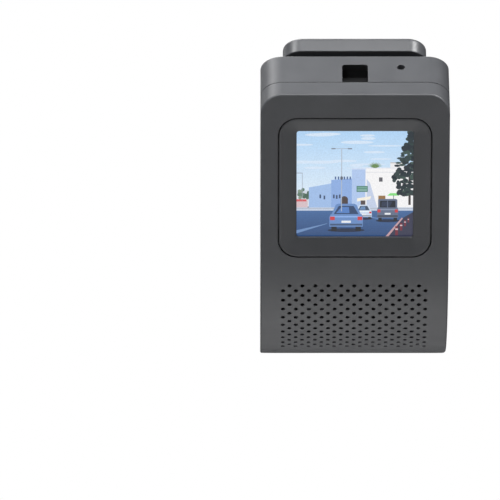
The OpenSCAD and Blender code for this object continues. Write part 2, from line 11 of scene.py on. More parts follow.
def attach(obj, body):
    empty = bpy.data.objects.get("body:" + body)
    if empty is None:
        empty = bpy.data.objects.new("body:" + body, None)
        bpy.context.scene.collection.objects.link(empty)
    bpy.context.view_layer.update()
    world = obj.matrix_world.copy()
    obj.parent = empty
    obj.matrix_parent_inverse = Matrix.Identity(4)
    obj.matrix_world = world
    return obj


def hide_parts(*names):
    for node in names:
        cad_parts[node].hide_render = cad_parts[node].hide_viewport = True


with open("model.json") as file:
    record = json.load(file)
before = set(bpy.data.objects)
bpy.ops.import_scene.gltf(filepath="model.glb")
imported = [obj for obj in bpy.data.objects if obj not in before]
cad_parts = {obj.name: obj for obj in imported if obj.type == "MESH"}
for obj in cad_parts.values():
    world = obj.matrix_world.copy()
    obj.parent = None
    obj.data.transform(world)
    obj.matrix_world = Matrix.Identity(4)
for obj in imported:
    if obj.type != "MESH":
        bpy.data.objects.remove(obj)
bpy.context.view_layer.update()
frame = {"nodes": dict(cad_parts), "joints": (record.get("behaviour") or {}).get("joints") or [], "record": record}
nodes = frame["nodes"]
MM = 0.001


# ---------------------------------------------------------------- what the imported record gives
record = frame["record"]
joints = {j["name"]: j for j in frame["joints"]}


# ---------------------------------------------------------------- driving sizes, in millimetres and degrees
BODY_W = 58.0
FRONT_H = 41.5
TOP_LEN = 92.5
END_LEN = 20.9
TOP_SLOPE = 32.0
END_LEAN = 53.3
SCREEN_LEAN = 26.2
BELLY_R = (52.2, 66.7)
BELLY_MEET = 52.9
CORNER_R = 6.8
WALL = 2.0
SEAM_Y, SEAM_R, SEAM_SLOPE, SEAM_DROP = 15.2, 25.0, 37.6, 14.2
VISIBLE_GAP = 0.26
PIVOT = (6.0, 22.4)
LENS_OUT, LENS_R, LENS_UP = 7.4, 12.8, 13.6
PLATE_W, PLATE_LEN, PLATE_R, PLATE_S = 44.2, 65.0, 6.0, 26.0
PLATE_GAP, PLATE_T = 2.8, 5.3
PANEL_S, PANEL_N, PANEL_L, PANEL_H = 63.5, 8.5, 42.0, 11.0
CAP_L, CAP_H, CAP_PLAY, CAP_GAP = 22.0, 7.0, 0.25, 0.8
BEZEL, BEZEL_R, BEZEL_DROP = 47.4, 6.2, 31.5
DISPLAY, DISPLAY_DROP = 35.8, 30.9
RECESS_W, RECESS_H, RECESS_R, RECESS_DROP = 7.9, 11.5, 1.0, 10.45
JACK_R, JACK_X, JACK_DROP = 1.3, 14.1, 6.1
MIC_W, MIC_H, MIC_X, MIC_S = 2.6, 0.9, -5.0, 5.5
CARD_W, CARD_DROP, CARD_DEPTH = 11.5, 36.0, (-14.6, -13.4)
RESET_HOLE_S, RESET_R, RESET_MARK_S = 79.2, 0.75, 76.2
LED_S, LED_W, LED_H = 46.3, 2.6, 1.4
OUT = 1.0                       # how far a cutter stands out of the face it cuts
THROUGH = (-WALL - 1.0, 0)      # a cutter's inner end, past the wall's inner face
ACROSS = [(-60, 0), (60, 0)]    # layers of a cutter that spans the whole width


def along(degrees, length=1.0):
    return np.array((math.cos(math.radians(degrees)), math.sin(math.radians(degrees)))) * length


TOP_REAR = np.array((0, FRONT_H)) + along(TOP_SLOPE, TOP_LEN)
END_FOOT = TOP_REAR + along(END_LEAN - 90, END_LEN)
SCREEN_D = END_FOOT @ along(-SCREEN_LEAN)
R_STEP = BELLY_R[0] - BELLY_R[1]
LEAN, MEET = math.radians(SCREEN_LEAN), math.radians(BELLY_MEET)
CENTRE_Z = BELLY_R[0] - R_STEP * math.sin(MEET)
BELLY_Y = (SCREEN_D - BELLY_R[1] + CENTRE_Z * math.sin(LEAN)) / math.cos(LEAN) - R_STEP * math.cos(MEET)
BELLY_C = [np.array((BELLY_Y, BELLY_R[0]))]
BELLY_C.append(BELLY_C[0] + R_STEP * along(-BELLY_MEET))
BELLY_ARC = BELLY_R[0] * math.radians(90 - BELLY_MEET)


def belly(s):
    """Point and outward angle of the belly, s millimetres along it from the flat bottom."""
    if s < BELLY_ARC:
        i, a = 0, -90 + math.degrees(s / BELLY_R[0])
    else:
        i, a = 1, -BELLY_MEET + math.degrees((s - BELLY_ARC) / BELLY_R[1])
    return BELLY_C[i] + along(a, BELLY_R[i]), a


def side_profile(step=1.0):
    """The body's outline as (y, z), anticlockwise from the foot of the front face."""
    end = BELLY_ARC + BELLY_R[1] * math.radians(BELLY_MEET - SCREEN_LEAN)
    count = round(end / step)
    curve = [belly(end * i / count)[0] for i in range(count + 1)]
    return [np.zeros(2)] + curve + [END_FOOT, TOP_REAR, np.array((0.0, FRONT_H))]


# Frames, as matrices from millimetres to the row frame.
foot = Vector(joints["lens_tilt"]["pos_m"]) - Vector((0, *PIVOT)) * MM


def frame_at(y, z, x_axis, y_axis, x=0.0):
    """Local x and y axes at a body point; z is out of the face."""
    x_axis, y_axis = Vector(x_axis), Vector(y_axis)
    z_axis = x_axis.cross(y_axis)
    m = Matrix((x_axis, y_axis, z_axis)).transposed().to_4x4()
    return Matrix.Translation(foot + Vector((x, y, z)) * MM) @ m @ Matrix.Scale(MM, 4)


def seen_from_behind(point, lean):
    up = along(lean + 90)
    return frame_at(point[0], point[1], (-1, 0, 0), (0, up[0], up[1]))


at_profile = frame_at(0, 0, (0, 1, 0), (0, 0, 1))
ALONG_TOP = (0, *along(TOP_SLOPE))
OUT_OF_TOP = (0, *along(TOP_SLOPE + 90))
at_top = frame_at(0, FRONT_H, (1, 0, 0), ALONG_TOP)
at_side = frame_at(0, FRONT_H, ALONG_TOP, OUT_OF_TOP, BODY_W / 2)
at_screen = seen_from_behind(END_FOOT, -SCREEN_LEAN)
at_end = seen_from_behind(TOP_REAR, END_LEAN)
at_lens = frame_at(-LENS_OUT, PIVOT[1], (1, 0, 0), (0, 0, 1))


def moved(frame_, x=0.0, y=0.0, z=0.0):
    return frame_ @ Matrix.Translation((x, y, z))


# ---------------------------------------------------------------- outlines and solids
def arc(cx, cy, r, a0, a1, n=12):
    return [(cx + r * math.cos(math.radians(a0 + (a1 - a0) * i / n)),
             cy + r * math.sin(math.radians(a0 + (a1 - a0) * i / n))) for i in range(n + 1)]


def ring(r, n=64):
    return arc(0, 0, r, 0, 360 - 360 / n, n - 1)


def rounded(w, h, r, n=10):
    x, y = w / 2 - r, h / 2 - r
    upper = arc(x, y, r, 0, 90, n) + arc(-x, y, r, 90, 180, n)
    return upper + arc(-x, -y, r, 180, 270, n) + arc(x, -y, r, 270, 360, n)


def stadium(l, h, n=20):
    x = (l - h) / 2
    return arc(x, 0, h / 2, -90, 90, n) + arc(-x, 0, h / 2, 90, 270, n)


def inset(points, d):
    """A convex anticlockwise outline drawn in by d."""
    p = [np.array(q, float) for q in points]
    out = []
    for i, q in enumerate(p):
        sides = [q - p[i - 1], p[(i + 1) % len(p)] - q]
        n1, n2 = (np.array((s[1], -s[0])) / (np.hypot(*s) + 1e-12) for s in sides)
        out.append(q - d * (n1 + n2) / (1 + n1 @ n2))
    return out


def loft(outline, layers, place):
    """A closed solid through copies of an outline, one per (height, inset)."""
    bm = bmesh.new()
    rows = []
    for z, d in layers:
        drawn_in = inset(outline, d) if d else outline
        rows.append([bm.verts.new(place @ Vector((x, y, z))) for x, y in drawn_in])
    n = len(outline)
    for a, b in zip(rows, rows[1:]):
        for i in range(n):
            bm.faces.new((a[i], a[(i + 1) % n], b[(i + 1) % n], b[i]))
    bm.faces.new(rows[0][::-1])
    bm.faces.new(rows[-1])
    bmesh.ops.recalc_face_normals(bm, faces=bm.faces)
    return bm


def edge_layers(z0, z1, r0=0.0, r1=0.0, n=4):
    """Heights and insets of a slab from z0 to z1 whose bottom and top edges are rounded."""
    low, high = [(z0, 0)], [(z1, 0)]
    if r0:
        low = [(z0 + r0 * (1 - math.sin(a)), r0 * (1 - math.cos(a)))
               for a in (math.pi / 2 * (1 - i / n) for i in range(n + 1))]
    if r1:
        high = [(z1 - r1 * (1 - math.sin(a)), r1 * (1 - math.cos(a)))
                for a in (math.pi / 2 * i / n for i in range(n + 1))]
    return low + high


def lathe(profile, place, n=96):
    """A closed ring or disc turned from a closed (radius, height) outline about the local z axis."""
    bm = bmesh.new()
    rows = []
    for r, z in profile:
        if r < 1e-6:
            rows.append([bm.verts.new(place @ Vector((0, 0, z)))])
        else:
            rows.append([bm.verts.new(place @ Vector((r * math.cos(t), r * math.sin(t), z)))
                         for t in (2 * math.pi * i / n for i in range(n))])
    for a, b in zip(rows, rows[1:] + rows[:1]):
        if len(a) == 1 and len(b) == 1:
            continue
        for i in range(n):
            j = (i + 1) % n
            quad = [a[i % len(a)], a[j % len(a)], b[j % len(b)], b[i % len(b)]]
            quad = [v for k, v in enumerate(quad) if v not in quad[:k]]
            bm.faces.new(quad)
    bmesh.ops.recalc_face_normals(bm, faces=bm.faces)
    return bm


def object_from(name, bm):
    mesh = bpy.data.meshes.new(name)
    bm.to_mesh(mesh)
    bm.free()
    o = bpy.data.objects.new(name, mesh)
    bpy.context.scene.collection.objects.link(o)
    return o


def bmesh_of(o):
    """The object's mesh, taken out of it; the object is removed."""
    bm = bmesh.new()
    bm.from_mesh(o.data)
    bpy.data.objects.remove(o)
    return bm


def join(bms):
    whole = bmesh.new()
    for b in bms:
        m = bpy.data.meshes.new("part")
        b.to_mesh(m)
        b.free()
        whole.from_mesh(m)
        bpy.data.meshes.remove(m)
    return whole


def apply(o):
    """Turns an object's modifiers into plain mesh."""
    mesh = bpy.data.meshes.new_from_object(o.evaluated_get(bpy.context.evaluated_depsgraph_get()))
    o.modifiers.clear()
    o.data = mesh


def boolean(o, cutters, operation="DIFFERENCE"):
    """Cuts the object by each closed bmesh in turn, or keeps what they share."""
    tools = []
    for bm in cutters:
        t = object_from("tool", bm)
        tools.append(t)
        m = o.modifiers.new("cut", "BOOLEAN")
        m.object, m.operation, m.solver = t, operation, "EXACT"
    bpy.context.view_layer.update()
    apply(o)
    for t in tools:
        bpy.data.objects.remove(t)


def bevel_edges(o, chosen, radius, segments):
    """Rounds the edges for which chosen(edge) is true."""
    bm = bmesh.new()
    bm.from_mesh(o.data)
    edges = [e for e in bm.edges if chosen(e)]
    bmesh.ops.bevel(bm, geom=edges, offset=radius * MM, segments=segments, profile=0.5, affect="EDGES",
                    clamp_overlap=False)
    bm.to_mesh(o.data)
    bm.free()


def body_form(t, rim=0.0):
    """The body's outer form drawn in by t, with its upright corners rounded and its rims softened."""
    outline = inset(side_profile(), t)
    half = BODY_W / 2 - t
    o = object_from("form", loft(outline, [(-half, 0), (half, 0)], at_profile))
    end_middle = (outline[-3] + outline[-2]) / 2
    near = 0.01

    def corner(edge):
        """True for the upright edges of the front face and the edges at the sides of the end face."""
        a, b = (v.co for v in edge.verts)
        if abs(a.x - b.x) > 1e-6:
            return False
        mid = ((a + b) / 2 - foot) / MM
        at_front = abs(mid.y - t) < near
        at_rear = abs(mid.y - end_middle[0]) < near and abs(mid.z - end_middle[1]) < near
        return at_front or at_rear
    bevel_edges(o, corner, CORNER_R - t, 16)
    if rim:
        bevel_edges(o, lambda edge: edge.calc_face_angle(0) > math.radians(30), rim, 4)
    return o


# ---------------------------------------------------------------- material helpers
class Graph:
    """A material's node tree, with short calls for the nodes used here."""

    def __init__(self, name):
        self.mat = bpy.data.materials.new(name)
        self.mat.use_nodes = True
        self.tree = self.mat.node_tree
        self.tree.nodes.clear()
        self.out = self.tree.nodes.new("ShaderNodeOutputMaterial")
        self.bsdf = self.tree.nodes.new("ShaderNodeBsdfPrincipled")
        self.link(self.bsdf.outputs[0], self.out.inputs["Surface"])

    def link(self, a, b):
        self.tree.links.new(a, b)

    def node(self, kind, **props):
        n = self.tree.nodes.new(kind)
        for k, v in props.items():
            setattr(n, k, v)
        return n

    def put(self, node, **values):
        for k, v in values.items():
            socket = node.inputs[k.replace("_", " ")]
            if isinstance(v, bpy.types.NodeSocket):
                self.link(v, socket)
            else:
                socket.default_value = v
        return node

    def coords(self, scale=1000.0):
        """Object coordinates in millimetres."""
        c = self.node("ShaderNodeTexCoord")
        m = self.node("ShaderNodeVectorMath", operation="SCALE")
        self.link(c.outputs["Object"], m.inputs[0])
        m.inputs["Scale"].default_value = scale
        return m.outputs[0]

    def noise(self, size_mm, detail=3.0, rough=0.55, stretch=None):
        v = self.coords(1000.0 / size_mm)
        if stretch:
            m = self.node("ShaderNodeVectorMath", operation="MULTIPLY")
            self.link(v, m.inputs[0])
            m.inputs[1].default_value = stretch
            v = m.outputs[0]
        n = self.node("ShaderNodeTexNoise")
        self.link(v, n.inputs["Vector"])
        n.inputs["Scale"].default_value = 1.0
        n.inputs["Detail"].default_value = detail
        n.inputs["Roughness"].default_value = rough
        return n.outputs[0]

    def voronoi(self, size_mm):
        n = self.node("ShaderNodeTexVoronoi")
        self.link(self.coords(1000.0 / size_mm), n.inputs["Vector"])
        n.inputs["Scale"].default_value = 1.0
        return n.outputs["Distance"]

    def math(self, op, a, b=0.5, clamp=False):
        m = self.node("ShaderNodeMath", operation=op, use_clamp=clamp)
        for i, v in enumerate((a, b)):
            if isinstance(v, bpy.types.NodeSocket):
                self.link(v, m.inputs[i])
            else:
                m.inputs[i].default_value = v
        return m.outputs[0]

    def span(self, value, lo, hi, out_lo, out_hi):
        r = self.node("ShaderNodeMapRange")
        self.put(r, From_Min=lo, From_Max=hi, To_Min=out_lo, To_Max=out_hi)
        self.link(value, r.inputs["Value"])
        return r.outputs[0]

    def mix(self, factor, a, b, blend="MIX"):
        m = self.node("ShaderNodeMix", data_type="RGBA", blend_type=blend)
        for i, v in ((0, factor), (6, a), (7, b)):
            if isinstance(v, bpy.types.NodeSocket):
                self.link(v, m.inputs[i])
            else:
                m.inputs[i].default_value = v
        return m.outputs[2]

    def bump(self, height, strength, depth_mm, normal=None):
        b = self.node("ShaderNodeBump")
        b.inputs["Strength"].default_value = strength
        b.inputs["Distance"].default_value = depth_mm * MM
        self.link(height, b.inputs["Height"])
        if normal is not None:
            self.link(normal, b.inputs["Normal"])
        return b.outputs[0]

    def soft_edge(self, radius_mm):
        b = self.node("ShaderNodeBevel", samples=6)
        b.inputs["Radius"].default_value = radius_mm * MM
        return b.outputs[0]

    def edge_mask(self, radius_mm):
        """1 on convex and concave edges, 0 on flats."""
        g = self.node("ShaderNodeNewGeometry")
        d = self.node("ShaderNodeVectorMath", operation="DOT_PRODUCT")
        self.link(self.soft_edge(radius_mm), d.inputs[0])
        self.link(g.outputs["Normal"], d.inputs[1])
        return self.span(d.outputs["Value"], 1.0, 0.8, 0.0, 1.0)


COOL = (0.965, 1.0, 1.085)


def grey(v, tint):
    return (v * tint[0], v * tint[1], v * tint[2], 1.0)


def plastic(name, value, rough=0.42, spark=0.12, spark_depth=0.012, edge=0.14, tint=COOL):
    """Moulded plastic: fine spark texture, soft blotches in colour and gloss, paler edges that are partly wear and
    partly a painted highlight.
    """
    g = Graph(name)
    blotch = g.noise(9.0, 4.0, 0.6)
    fine = g.noise(spark, 2.0, 0.5)
    pits = g.voronoi(spark * 2.2)
    rubbed = g.span(g.noise(1.7, 5.0, 0.65), 0.42, 0.66, 0.15, 1.0)
    # Paler colour on convex and concave edges, broken up in patches: partly wear, partly a painted edge highlight.
    edge_wear_and_highlight = g.math("MULTIPLY", g.edge_mask(edge * 2.0), rubbed, True)
    base = g.mix(g.span(blotch, 0.3, 0.7, 0.0, 1.0), grey(value * 0.94, tint), grey(value * 1.06, tint))
    base = g.mix(g.math("MULTIPLY", edge_wear_and_highlight, 0.35), base, grey(min(1.0, value * 2.0 + 0.02), tint))
    g.link(base, g.bsdf.inputs["Base Color"])
    gloss = g.math("ADD", g.span(blotch, 0.25, 0.75, rough - 0.035, rough + 0.035),
                   g.span(fine, 0.3, 0.7, -0.03, 0.03))
    g.link(g.math("SUBTRACT", gloss, g.math("MULTIPLY", edge_wear_and_highlight, 0.1)), g.bsdf.inputs["Roughness"])
    height = g.math("ADD", fine, g.math("MULTIPLY", pits, 0.5))
    g.link(g.bump(height, 0.35, spark_depth, g.soft_edge(edge)), g.bsdf.inputs["Normal"])
    g.bsdf.inputs["IOR"].default_value = 1.45
    return g.mat


def metal(name, colour, rough=0.3, grain=(1.0, 12.0, 12.0), grain_mm=0.5, depth=0.004, edge=0.06):
    """Machined or stamped metal: drawn grain, stains in the gloss, and a painted highlight that brightens the
    colour along edges.
    """
    g = Graph(name)
    lines = g.noise(grain_mm, 4.0, 0.6, grain)
    stain = g.noise(3.0, 4.0, 0.6)
    dark = tuple(c * 0.82 for c in colour[:3]) + (1.0,)
    edge_highlight_colour = tuple(min(1, c * 1.15) for c in colour[:3]) + (1.0,)
    base = g.mix(g.span(stain, 0.3, 0.7, 0.0, 1.0), dark, colour)
    # Painted highlight: the colour is brightened along convex and concave edges.
    base = g.mix(g.math("MULTIPLY", g.edge_mask(edge * 2), 0.5), base, edge_highlight_colour)
    g.link(base, g.bsdf.inputs["Base Color"])
    g.bsdf.inputs["Metallic"].default_value = 1.0
    drawn = g.span(lines, 0.25, 0.75, rough - 0.06, rough + 0.06)
    g.link(g.math("ADD", drawn, g.span(stain, 0.3, 0.7, -0.04, 0.04)), g.bsdf.inputs["Roughness"])
    g.link(g.bump(lines, 0.3, depth, g.soft_edge(edge)), g.bsdf.inputs["Normal"])
    return g.mat


def glass_like(name, colour, rough=0.05, coating_reflection_tint=None):
    """Coated glass, opaque and glossy, with the coating's coloured reflection painted into its colour at grazing
    angles.
    """
    g = Graph(name)
    smear = g.noise(4.0, 4.0, 0.6)
    slant = g.node("ShaderNodeLayerWeight")
    slant.inputs["Blend"].default_value = 0.35
    # Painted reflection: the base colour turns to the coating's reflected tint as the surface is seen more
    # edge-on.
    g.link(g.mix(slant.outputs["Facing"], colour, coating_reflection_tint or colour), g.bsdf.inputs["Base Color"])
    g.link(g.span(smear, 0.35, 0.7, rough, rough + 0.06), g.bsdf.inputs["Roughness"])
    g.link(g.bump(smear, 0.05, 0.01), g.bsdf.inputs["Normal"])
    g.bsdf.inputs["Coat Weight"].default_value = 1.0
    g.bsdf.inputs["Coat Roughness"].default_value = 0.03
    g.bsdf.inputs["IOR"].default_value = 1.5
    return g.mat


BODY = 0.062
mats = {
    "body": plastic("satin_charcoal", BODY, 0.40),
    "button": plastic("button_plastic", BODY * 1.2, 0.36, 0.1),
    "bezel": plastic("bezel_charcoal", BODY * 0.9, 0.36),
    "ink": plastic("pad_print", 0.012, 0.5, 0.1, 0.004, 0.03),
    "black": plastic("matte_black", 0.012, 0.5, 0.15),
    "gloss": plastic("gloss_black", 0.004, 0.12, 0.3, 0.002, 0.05),
    "foam": plastic("adhesive_foam", 0.06, 0.5, 0.5, 0.02, 0.1),
    "cone": metal("lens_cone_metal", (0.13, 0.13, 0.132, 1.0), 0.3, (1.0, 1.0, 1.0), 0.25, 0.002, 0.03),
    "steel": metal("plain_steel", (0.5, 0.5, 0.52, 1.0), 0.34),
    "brass": metal("antenna_brass", (0.6, 0.43, 0.18, 1.0), 0.35),
    "lens": glass_like("coated_lens", (0.004, 0.006, 0.009, 1.0), 0.02, (0.02, 0.05, 0.04, 1.0)),
    "window": glass_like("display_glass", (0.01, 0.011, 0.013, 1.0), 0.05),
    "board": plastic("solder_mask", 0.05, 0.3, 0.4, 0.02, 0.08, (0.3, 1.0, 0.4)),
    "film": plastic("polyimide_film", 0.25, 0.3, 0.4, 0.01, 0.05, (1.6, 0.8, 0.3)),
}


def live_picture():
    """The display's drawing: its own colours give light, under a glossy coat, with a faint grid of dots."""
    g = Graph("live_picture")
    paint = g.node("ShaderNodeVertexColor", layer_name="paint")
    grid = g.span(g.noise(0.35, 1.0, 0.5), 0.3, 0.7, 0.93, 1.05)
    shade = g.node("ShaderNodeCombineColor")
    for i in range(3):
        g.link(grid, shade.inputs[i])
    lit = g.mix(1.0, paint.outputs["Color"], shade.outputs[0], "MULTIPLY")
    g.link(g.mix(0.96, lit, (0, 0, 0, 1)), g.bsdf.inputs["Base Color"])
    g.link(lit, g.bsdf.inputs["Emission Color"])
    g.bsdf.inputs["Emission Strength"].default_value = 0.95
    g.bsdf.inputs["Roughness"].default_value = 0.35
    g.bsdf.inputs["Coat Weight"].default_value = 0.35
    g.bsdf.inputs["Coat Roughness"].default_value = 0.04
    return g.mat


mats["picture"] = live_picture()

LOOKS = {
    "body": "front_housing rear_cover screen_frame button_panel lens_housing lens_back_cover mount_plate"
            " slide_base slide_rail",
    "button": "ok_button power_button status_led",
    "black": "port_insert av_jack reset_plunger lens_barrel lens_holder memory_card speaker_frame"
             " speaker_cone grille_mesh microphone processor memory_chips image_sensor sensor_cable"
             " speaker_gasket thermal_pad",
    "gloss": "lens_ring",
    "foam": "adhesive_pad",
    "cone": "lens_cone",
    "steel": "rail_screws base_screws board_screws yoke_screws friction_washers pivot_pins tilt_yoke"
             " card_socket usb_socket shield_can lcd_tray tact_switches heat_spreader supercapacitors"
             " speaker_magnet",
    "brass": "radio_antenna",
    "lens": "front_lens inner_lenses infrared_filter",
    "window": "display_window lcd_panel",
    "board": "main_board io_board button_board power_board sensor_board",
    "film": "lcd_flex board_link",
}
look_of = {n: look for look, members in LOOKS.items() for n in members.split()}
for n, look in look_of.items():
    nodes[n].data.materials.clear()
    nodes[n].data.materials.append(mats[look])


# ---------------------------------------------------------------- placing pieces
bodies = record["behaviour"]["bodies"]
body_of = {n: b for b, members in bodies.items() for n in members}
slot_of = {s["node"]: s["material_slot"] for s in record["subparts"]}


SHARP = 38


def place(o, name, look, body, slot, *stands_for):
    """Names an object, gives it its material and smooth shading, and ties it to a CAD body."""
    o.name = o.data.name = name
    o.data.materials.clear()
    o.data.materials.append(mats[look])
    for p in o.data.polygons:
        p.use_smooth = True
    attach(o, body)
    if stands_for:
        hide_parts(*stands_for)
    o.data.set_sharp_from_angle(angle=math.radians(SHARP))
    w = o.modifiers.new("normals", "WEIGHTED_NORMAL")
    w.keep_sharp = True
    return o


def stand_in(o, node, look=None):
    return place(o, node + "_detailed", look or look_of[node], body_of[node], slot_of[node], node)


def solid(name, outline, layers, place_at):
    return object_from(name, loft(outline, layers, place_at))


def box(x, y, z, place_at):
    return loft([(x[0], y[0]), (x[1], y[0]), (x[1], y[1]), (x[0], y[1])], [(z[0], 0), (z[1], 0)], place_at)


# ---------------------------------------------------------------- the two mouldings
def rear_region(g):
    """Outline, in the side plane, of everything on the rear cover's side of the seam, grown by g."""
    seam_end = TOP_REAR + along(END_LEAN - 90, SEAM_DROP)
    knee = np.array((SEAM_Y, seam_end[1] - (seam_end[0] - SEAM_Y) * math.tan(math.radians(SEAM_SLOPE))))
    reach = SEAM_R * math.tan(math.radians((90 - SEAM_SLOPE) / 2))
    centre = (SEAM_Y + SEAM_R, knee[1] - reach)
    curve = arc(*centre, SEAM_R + g, 180, 90 + SEAM_SLOPE, 24)
    far, low = 200, -50
    far_end = knee + along(SEAM_SLOPE, far) + along(SEAM_SLOPE + 90, g)
    return [(SEAM_Y - g, low), (far, low), tuple(far_end)] + curve[::-1]


def grille_cutters():
    """207 holes in staggered rows; those over the oval rim of the speaker are blind."""
    rows, pitch, start, r = 18, 4.0, 13.8, 0.65
    rim_w, rim_h, middle, rim_band = 17.9, 11.0, 29.8, 0.09
    blind = -0.6
    cutters = []
    for row in range(rows):
        s = start + (rows - 1 - row) * pitch / 2
        holes = 11 + row % 2
        at = seen_from_behind(*belly(s))
        for i in range(holes):
            x = (i - (holes - 1) / 2) * pitch
            on_rim = abs(math.hypot(x / rim_w, (s - middle) / rim_h) - 1) < rim_band
            bottom = (blind, 0) if on_rim else THROUGH
            cutters.append(loft([(x + a, b) for a, b in ring(r, 20)], [bottom, (OUT, 0)], at))
    return join(cutters)


def pocket_outline():
    """The front slot that the lens block tilts in, straight above and round below."""
    r, z, top = LENS_R + 1.0, PIVOT[1] - 4.9, FRONT_H - 1.2
    return [(r, top), (-r, top)] + arc(0, z, r, 180, 360, 40)


def paint_shade_in_opening(o, frame_, x, y, z):
    """Paints the walls of one opening, found by a box in a frame, matte black as painted shade."""
    o.data.materials.append(mats["black"])
    back = frame_.inverted()
    for p in o.data.polygons:
        at = back @ p.center
        if all(lo < v < hi for v, (lo, hi) in zip(at, (x, y, z))):
            p.material_index = 1


def through(outline, place_at):
    """A cutter that goes through the wall under a face."""
    return loft(outline, [THROUGH, (OUT, 0)], place_at)


look_out = frame_at(0, 0, (1, 0, 0), (0, 0, 1))
panel_at = moved(at_side, PANEL_S, -PANEL_N)
hollow_front = bmesh_of(body_form(WALL))
hollow_rear = hollow_front.copy()

front = body_form(0, 0.45)
boolean(front, [
    hollow_front,
    loft(rear_region(VISIBLE_GAP / 2), ACROSS, at_profile),
    through(pocket_outline(), look_out),
    through(stadium(PANEL_L, PANEL_H), panel_at),
    through(rounded(RECESS_W, RECESS_H, RECESS_R), moved(at_end, 0, -RECESS_DROP)),
    through(ring(JACK_R, 32), moved(at_end, JACK_X, -JACK_DROP)),
    loft(stadium(MIC_W, MIC_H, 8), [(-WALL - 2, 0), (OUT, 0)], moved(at_top, MIC_X, MIC_S)),
])
stand_in(front, "front_housing")
RIM_BAND = (-WALL - 0.6, -0.06)
# Painted shade: the housing's cut walls in the port recess and in the lens pocket are coloured matte black.
paint_shade_in_opening(front, at_end, (-4.1, 4.1), (-SEAM_DROP, -4.6), RIM_BAND)
paint_shade_in_opening(front, look_out, (-LENS_R - 1.1, LENS_R + 1.1), (0, FRONT_H - 1.1), RIM_BAND)

rear = body_form(0, 0.6)
boolean(rear, [loft(rear_region(-VISIBLE_GAP / 2), ACROSS, at_profile)], "INTERSECT")
boolean(rear, [
    hollow_rear,
    through(rounded(BEZEL, BEZEL, BEZEL_R, 16), moved(at_screen, 0, -BEZEL_DROP)),
    box((-RECESS_W / 2, RECESS_W / 2), (-SEAM_DROP, 0), (-5, 0.5), at_end),
    box((20, 40), (-CARD_DROP - CARD_W / 2, -CARD_DROP + CARD_W / 2), CARD_DEPTH, at_screen),
    grille_cutters(),
])

# The lip stands inside the seam, so that no light comes through it.
LIP_DEPTH, LIP_OUT, LIP_IN, LIP_PLAY = 1.0, 1.2, 1.6, 1.3
lip = body_form(WALL + 0.1)
boolean(lip, [loft(rear_region(LIP_OUT), ACROSS, at_profile)], "INTERSECT")
boolean(lip, [
    bmesh_of(body_form(WALL + LIP_DEPTH)),
    loft(rear_region(-LIP_IN), ACROSS, at_profile),
    loft(stadium(PANEL_L + 2 * LIP_PLAY, PANEL_H + 2 * LIP_PLAY), [(-5, 0), (-WALL, 0)], panel_at),
    box((-5.6, 5.6), (-SEAM_DROP - 3, 0), (-6, 0.5), at_end),
])
stand_in(object_from("rear", join([bmesh_of(rear), bmesh_of(lip)])), "rear_cover")

# ---------------------------------------------------------------- screen
def screen_frame():
    """A square frame whose face slopes in to the display, from its flange round to its inner wall."""
    bm = bmesh.new()
    flange, opening, bottom, under = BEZEL + 0.8, BEZEL - 0.7, -3.3, -WALL - 0.1
    corner = BEZEL_R - 0.35
    shift = BEZEL_DROP - DISPLAY_DROP
    outside = [(flange, BEZEL_R, bottom), (flange, BEZEL_R, under), (opening, corner, under),
               (opening, corner, -0.62), (opening - 0.16, BEZEL_R - 0.43, -0.45),
               (opening - 0.5, BEZEL_R - 0.6, -0.38), (opening - 1.4, BEZEL_R - 1.0, -0.42),
               (opening - 2.4, BEZEL_R - 1.5, -0.52)]
    inside = [(DISPLAY + 1.0, 1.5, -1.42), (DISPLAY + 0.3, 1.0, -1.52),
              (DISPLAY, 0.8, -1.7), (DISPLAY, 0.8, bottom)]
    loops = [(rounded(w, w, r, 16), z, 0) for w, r, z in outside]
    loops += [(rounded(w, w, r, 16), z, shift) for w, r, z in inside]
    rows = [[bm.verts.new(at_screen @ Vector((x, y - BEZEL_DROP + dy, z))) for x, y in outline]
            for outline, z, dy in loops]
    count = len(rows[0])
    for a, b in zip(rows, rows[1:] + rows[:1]):
        for i in range(count):
            bm.faces.new((a[i], a[(i + 1) % count], b[(i + 1) % count], b[i]))
    bmesh.ops.recalc_face_normals(bm, faces=bm.faces)
    return object_from("screen_frame", bm)


stand_in(screen_frame(), "screen_frame", "bezel")


class Picture:
    """A flat drawing made of small coloured faces, each a hair above the last."""
    STEP = 0.0018

    def __init__(self, place_at, side):
        self.bm = bmesh.new()
        self.colour = self.bm.loops.layers.color.new("paint")
        self.at, self.side, self.level = place_at, side, 0.0

    def shape(self, points, rgb):
        """One face; points are in fractions of the picture's side and are held inside it."""
        self.level += self.STEP
        kept = [(min(1.0, max(0.0, x)) - 0.5, min(1.0, max(0.0, y)) - 0.5) for x, y in points]
        verts = [self.bm.verts.new(self.at @ Vector((x * self.side, y * self.side, self.level)))
                 for x, y in kept]
        face = self.bm.faces.new(verts)
        for loop in face.loops:
            loop[self.colour] = (*(v / 255 for v in rgb), 1.0)

    def rect(self, x0, y0, x1, y1, rgb):
        self.shape([(x0, y0), (x1, y0), (x1, y1), (x0, y1)], rgb)

    def oval(self, x, y, rx, ry, rgb, n=18):
        self.shape([(x + rx * math.cos(2 * math.pi * i / n), y + ry * math.sin(2 * math.pi * i / n))
                    for i in range(n)], rgb)

    def fade(self, x0, y0, x1, y1, low, high, n):
        """Bands on one level, from the low colour at the bottom to the high one at the top."""
        for i in range(n):
            t = i / (n - 1)
            self.rect(x0, y0 + (y1 - y0) * i / n, x1, y0 + (y1 - y0) * (i + 1) / n,
                      [a + (b - a) * t for a, b in zip(low, high)])
            self.level -= self.STEP
        self.level += self.STEP


